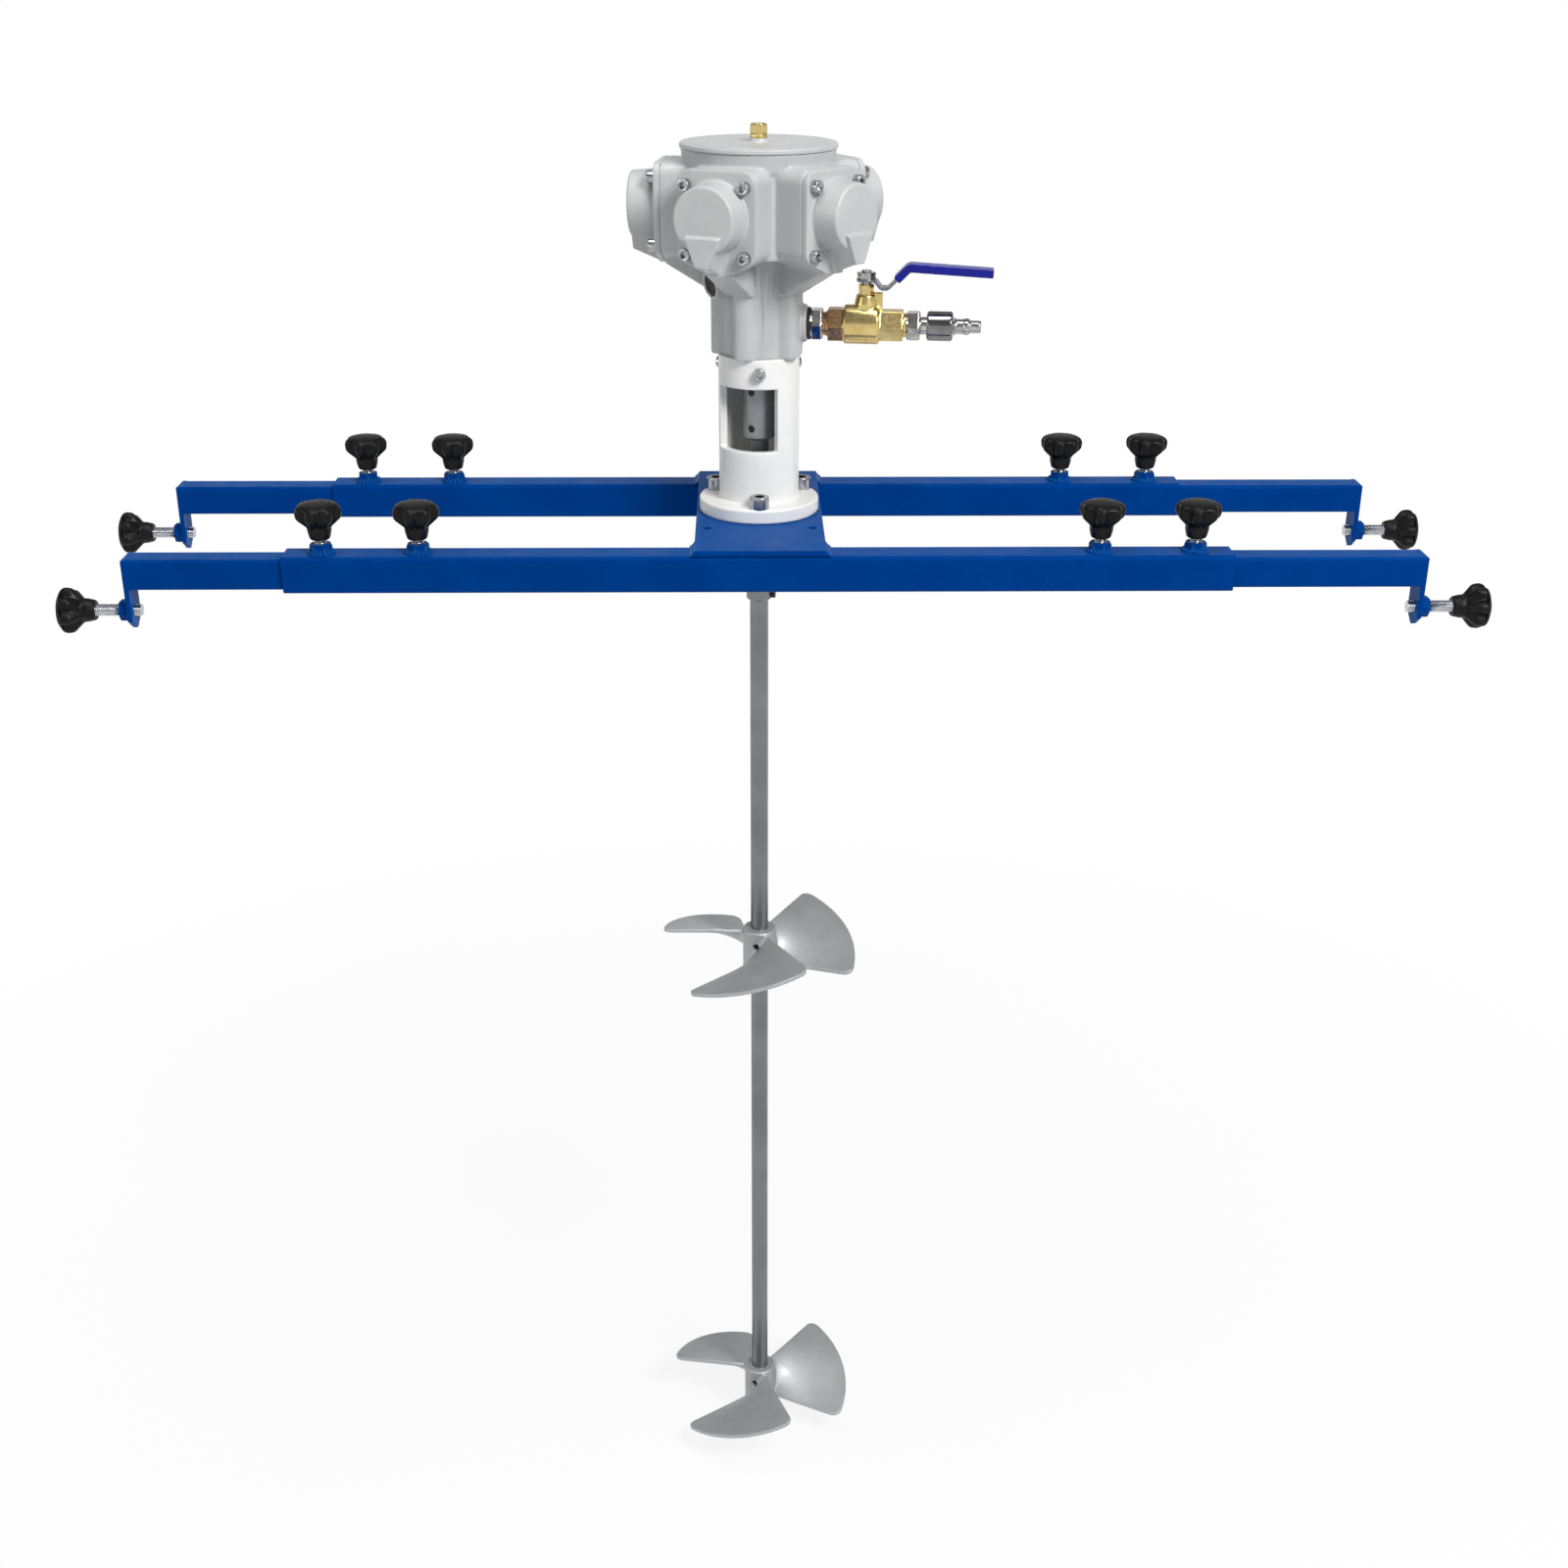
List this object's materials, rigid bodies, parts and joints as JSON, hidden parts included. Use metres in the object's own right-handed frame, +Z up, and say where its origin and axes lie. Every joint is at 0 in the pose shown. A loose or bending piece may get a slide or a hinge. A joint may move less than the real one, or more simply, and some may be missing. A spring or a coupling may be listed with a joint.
{
  "type": "paint mixer",
  "caption": "Air-powered paint mixer: radial piston motor on a clamp-on rail bridge with sliding hook arms, long stirring shaft with propellers and a lever ball valve on the inlet",
  "frame": {"origin": "middle of the bridge plate's top face, on the mixing shaft's axis", "axes": "+Z up along the shaft, +X along the rails to the inlet valve's side, +Y to the rear"},
  "size_m": [1.181, 0.2552, 1.276],
  "materials": {
    "frame_blue": "blue powder coat",
    "motor_grey": "satin light-grey paint",
    "lantern_white": "satin off-white paint",
    "knob_black": "moulded",
    "zinc_steel": "bright plated",
    "shaft_steel": "satin turned",
    "impeller_cast": "fine blasted",
    "bearing_steel": "ground",
    "piston_alloy": "machined",
    "brass": "satin",
    "silencer_mesh": "woven",
    "lever_steel": "plated strip",
    "grip_blue": "dipped vinyl"
  },
  "bodies": {
    "bridge": {"bridge_plate": "frame_blue", "front_rail": "frame_blue", "rear_rail": "frame_blue", "rail_clamp_nuts": "frame_blue", "lantern": "lantern_white", "flange_screws": "zinc_steel", "lantern_screws": "zinc_steel", "motor_housing": "motor_grey", "cylinder_heads": "motor_grey", "head_screws": "zinc_steel", "motor_cover": "motor_grey", "filler_plug": "brass", "exhaust_silencer": "silencer_mesh", "shaft_bearings": "bearing_steel", "pistons": "piston_alloy", "inlet_union": "zinc_steel", "valve_body": "brass", "hose_nipple": "zinc_steel", "quick_plug": "zinc_steel"},
    "mixing_shaft": {"crankshaft": "shaft_steel", "crank_ring": "bearing_steel", "shaft_coupling": "shaft_steel", "spindle": "shaft_steel", "shaft_sleeve": "shaft_steel", "stirring_shaft": "shaft_steel", "upper_impeller": "impeller_cast", "lower_impeller": "impeller_cast", "set_screws": "zinc_steel"},
    "valve_lever": {"lever": "lever_steel", "lever_nut": "lever_steel", "lever_grip": "grip_blue", "valve_ball": "zinc_steel"},
    "front_left_arm": {"front_left_arm": "frame_blue"},
    "front_left_inner_stud": {"front_left_inner_stud": "zinc_steel"},
    "front_left_inner_knob": {"front_left_inner_knob": "knob_black"},
    "front_left_outer_stud": {"front_left_outer_stud": "zinc_steel"},
    "front_left_outer_knob": {"front_left_outer_knob": "knob_black"},
    "front_left_hook_stud": {"front_left_hook_stud": "zinc_steel"},
    "front_left_hook_knob": {"front_left_hook_knob": "knob_black"},
    "front_right_arm": {"front_right_arm": "frame_blue"},
    "front_right_inner_stud": {"front_right_inner_stud": "zinc_steel"},
    "front_right_inner_knob": {"front_right_inner_knob": "knob_black"},
    "front_right_outer_stud": {"front_right_outer_stud": "zinc_steel"},
    "front_right_outer_knob": {"front_right_outer_knob": "knob_black"},
    "front_right_hook_stud": {"front_right_hook_stud": "zinc_steel"},
    "front_right_hook_knob": {"front_right_hook_knob": "knob_black"},
    "rear_left_arm": {"rear_left_arm": "frame_blue"},
    "rear_left_inner_stud": {"rear_left_inner_stud": "zinc_steel"},
    "rear_left_inner_knob": {"rear_left_inner_knob": "knob_black"},
    "rear_left_outer_stud": {"rear_left_outer_stud": "zinc_steel"},
    "rear_left_outer_knob": {"rear_left_outer_knob": "knob_black"},
    "rear_left_hook_stud": {"rear_left_hook_stud": "zinc_steel"},
    "rear_left_hook_knob": {"rear_left_hook_knob": "knob_black"},
    "rear_right_arm": {"rear_right_arm": "frame_blue"},
    "rear_right_inner_stud": {"rear_right_inner_stud": "zinc_steel"},
    "rear_right_inner_knob": {"rear_right_inner_knob": "knob_black"},
    "rear_right_outer_stud": {"rear_right_outer_stud": "zinc_steel"},
    "rear_right_outer_knob": {"rear_right_outer_knob": "knob_black"},
    "rear_right_hook_stud": {"rear_right_hook_stud": "zinc_steel"},
    "rear_right_hook_knob": {"rear_right_hook_knob": "knob_black"}
  },
  "joints": [
    {"name": "shaft_spin", "type": "hinge", "parent": "bridge", "child": "mixing_shaft", "pos_m": [0, 0, 0], "axis": [0, 0, 1], "continuous": true},
    {"name": "lever_turn", "type": "hinge", "parent": "bridge", "child": "valve_lever", "pos_m": [0.08685, -0.01066, 0.157], "axis": [0, 0, 1], "range_deg": [-90, 0]},
    {"name": "front_left_arm_slide", "type": "slide", "parent": "bridge", "child": "front_left_arm", "axis": [-1, 0, 0], "range_m": [-0.122, 0.1]},
    {"name": "front_left_inner_stud_slide", "type": "slide", "parent": "bridge", "child": "front_left_inner_stud", "axis": [0, 0, 1], "range_m": [0, 0.006]},
    {"name": "front_left_inner_knob_turn", "type": "hinge", "parent": "front_left_inner_stud", "child": "front_left_inner_knob", "pos_m": [-0.273, -0.1088, 0.0067], "axis": [0, 0, 1], "range_deg": [0, 1440]},
    {"name": "front_left_outer_stud_slide", "type": "slide", "parent": "bridge", "child": "front_left_outer_stud", "axis": [0, 0, 1], "range_m": [0, 0.006]},
    {"name": "front_left_outer_knob_turn", "type": "hinge", "parent": "front_left_outer_stud", "child": "front_left_outer_knob", "pos_m": [-0.35, -0.1088, 0.0067], "axis": [0, 0, 1], "range_deg": [0, 1440]},
    {"name": "front_left_hook_stud_slide", "type": "slide", "parent": "front_left_arm", "child": "front_left_hook_stud", "axis": [1, 0, 0], "range_m": [-0.003, 0.018]},
    {"name": "front_left_hook_knob_turn", "type": "hinge", "parent": "front_left_hook_stud", "child": "front_left_hook_knob", "pos_m": [-0.507, -0.1088, -0.0525], "axis": [1, 0, 0], "range_deg": [-720, 4320]},
    {"name": "front_right_arm_slide", "type": "slide", "parent": "bridge", "child": "front_right_arm", "axis": [1, 0, 0], "range_m": [-0.152, 0.07]},
    {"name": "front_right_inner_stud_slide", "type": "slide", "parent": "bridge", "child": "front_right_inner_stud", "axis": [0, 0, 1], "range_m": [0, 0.006]},
    {"name": "front_right_inner_knob_turn", "type": "hinge", "parent": "front_right_inner_stud", "child": "front_right_inner_knob", "pos_m": [0.273, -0.1088, 0.0067], "axis": [0, 0, 1], "range_deg": [0, 1440]},
    {"name": "front_right_outer_stud_slide", "type": "slide", "parent": "bridge", "child": "front_right_outer_stud", "axis": [0, 0, 1], "range_m": [0, 0.006]},
    {"name": "front_right_outer_knob_turn", "type": "hinge", "parent": "front_right_outer_stud", "child": "front_right_outer_knob", "pos_m": [0.35, -0.1088, 0.0067], "axis": [0, 0, 1], "range_deg": [0, 1440]},
    {"name": "front_right_hook_stud_slide", "type": "slide", "parent": "front_right_arm", "child": "front_right_hook_stud", "axis": [-1, 0, 0], "range_m": [-0.003, 0.018]},
    {"name": "front_right_hook_knob_turn", "type": "hinge", "parent": "front_right_hook_stud", "child": "front_right_hook_knob", "pos_m": [0.537, -0.1088, -0.0525], "axis": [-1, 0, 0], "range_deg": [-720, 4320]},
    {"name": "rear_left_arm_slide", "type": "slide", "parent": "bridge", "child": "rear_left_arm", "axis": [-1, 0, 0], "range_m": [-0.135, 0.087]},
    {"name": "rear_left_inner_stud_slide", "type": "slide", "parent": "bridge", "child": "rear_left_inner_stud", "axis": [0, 0, 1], "range_m": [0, 0.006]},
    {"name": "rear_left_inner_knob_turn", "type": "hinge", "parent": "rear_left_inner_stud", "child": "rear_left_inner_knob", "pos_m": [-0.273, 0.1088, 0.0067], "axis": [0, 0, 1], "range_deg": [0, 1440]},
    {"name": "rear_left_outer_stud_slide", "type": "slide", "parent": "bridge", "child": "rear_left_outer_stud", "axis": [0, 0, 1], "range_m": [0, 0.006]},
    {"name": "rear_left_outer_knob_turn", "type": "hinge", "parent": "rear_left_outer_stud", "child": "rear_left_outer_knob", "pos_m": [-0.35, 0.1088, 0.0067], "axis": [0, 0, 1], "range_deg": [0, 1440]},
    {"name": "rear_left_hook_stud_slide", "type": "slide", "parent": "rear_left_arm", "child": "rear_left_hook_stud", "axis": [1, 0, 0], "range_m": [-0.003, 0.018]},
    {"name": "rear_left_hook_knob_turn", "type": "hinge", "parent": "rear_left_hook_stud", "child": "rear_left_hook_knob", "pos_m": [-0.52, 0.1088, -0.0525], "axis": [1, 0, 0], "range_deg": [-720, 4320]},
    {"name": "rear_right_arm_slide", "type": "slide", "parent": "bridge", "child": "rear_right_arm", "axis": [1, 0, 0], "range_m": [-0.162, 0.06]},
    {"name": "rear_right_inner_stud_slide", "type": "slide", "parent": "bridge", "child": "rear_right_inner_stud", "axis": [0, 0, 1], "range_m": [0, 0.006]},
    {"name": "rear_right_inner_knob_turn", "type": "hinge", "parent": "rear_right_inner_stud", "child": "rear_right_inner_knob", "pos_m": [0.273, 0.1088, 0.0067], "axis": [0, 0, 1], "range_deg": [0, 1440]},
    {"name": "rear_right_outer_stud_slide", "type": "slide", "parent": "bridge", "child": "rear_right_outer_stud", "axis": [0, 0, 1], "range_m": [0, 0.006]},
    {"name": "rear_right_outer_knob_turn", "type": "hinge", "parent": "rear_right_outer_stud", "child": "rear_right_outer_knob", "pos_m": [0.35, 0.1088, 0.0067], "axis": [0, 0, 1], "range_deg": [0, 1440]},
    {"name": "rear_right_hook_stud_slide", "type": "slide", "parent": "rear_right_arm", "child": "rear_right_hook_stud", "axis": [-1, 0, 0], "range_m": [-0.003, 0.018]},
    {"name": "rear_right_hook_knob_turn", "type": "hinge", "parent": "rear_right_hook_stud", "child": "rear_right_hook_knob", "pos_m": [0.547, 0.1088, -0.0525], "axis": [-1, 0, 0], "range_deg": [-720, 4320]}
  ],
  "couplings": [
    {"joint": "front_left_inner_knob_turn", "follows": "front_left_inner_stud_slide", "rad_per_m": 4188.8},
    {"joint": "front_left_outer_knob_turn", "follows": "front_left_outer_stud_slide", "rad_per_m": 4188.8},
    {"joint": "front_left_hook_knob_turn", "follows": "front_left_hook_stud_slide", "rad_per_m": 4188.8},
    {"joint": "front_right_inner_knob_turn", "follows": "front_right_inner_stud_slide", "rad_per_m": 4188.8},
    {"joint": "front_right_outer_knob_turn", "follows": "front_right_outer_stud_slide", "rad_per_m": 4188.8},
    {"joint": "front_right_hook_knob_turn", "follows": "front_right_hook_stud_slide", "rad_per_m": 4188.8},
    {"joint": "rear_left_inner_knob_turn", "follows": "rear_left_inner_stud_slide", "rad_per_m": 4188.8},
    {"joint": "rear_left_outer_knob_turn", "follows": "rear_left_outer_stud_slide", "rad_per_m": 4188.8},
    {"joint": "rear_left_hook_knob_turn", "follows": "rear_left_hook_stud_slide", "rad_per_m": 4188.8},
    {"joint": "rear_right_inner_knob_turn", "follows": "rear_right_inner_stud_slide", "rad_per_m": 4188.8},
    {"joint": "rear_right_outer_knob_turn", "follows": "rear_right_outer_stud_slide", "rad_per_m": 4188.8},
    {"joint": "rear_right_hook_knob_turn", "follows": "rear_right_hook_stud_slide", "rad_per_m": 4188.8}
  ]
}
